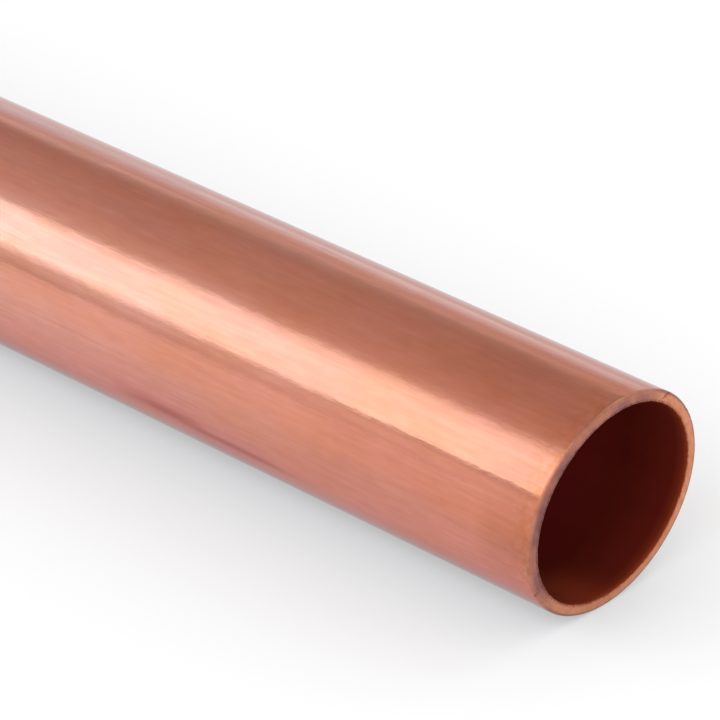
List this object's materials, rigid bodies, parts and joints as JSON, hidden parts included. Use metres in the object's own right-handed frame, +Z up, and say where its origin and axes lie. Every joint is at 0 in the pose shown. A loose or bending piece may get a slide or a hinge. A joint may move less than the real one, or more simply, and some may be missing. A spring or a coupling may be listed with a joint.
{
  "type": "straight copper tube",
  "caption": "Straight round thin-walled copper tube with an open bore and plain square-cut ends, lying on its side; pipe stock that carries water, gas or refrigerant between socket fittings.",
  "frame": {"origin": "on the floor, under the middle of the tube's length", "axes": "+X along the tube's axis, out of the end that the picture shows; +Z up from the floor"},
  "size_m": [0.3048, 0.0222, 0.0222],
  "materials": {
    "copper": "bright-drawn copper, satin along the tube, with a dark oxidised bore"
  },
  "bodies": {
    "root": {"copper_tube": "copper"}
  },
  "joints": []
}
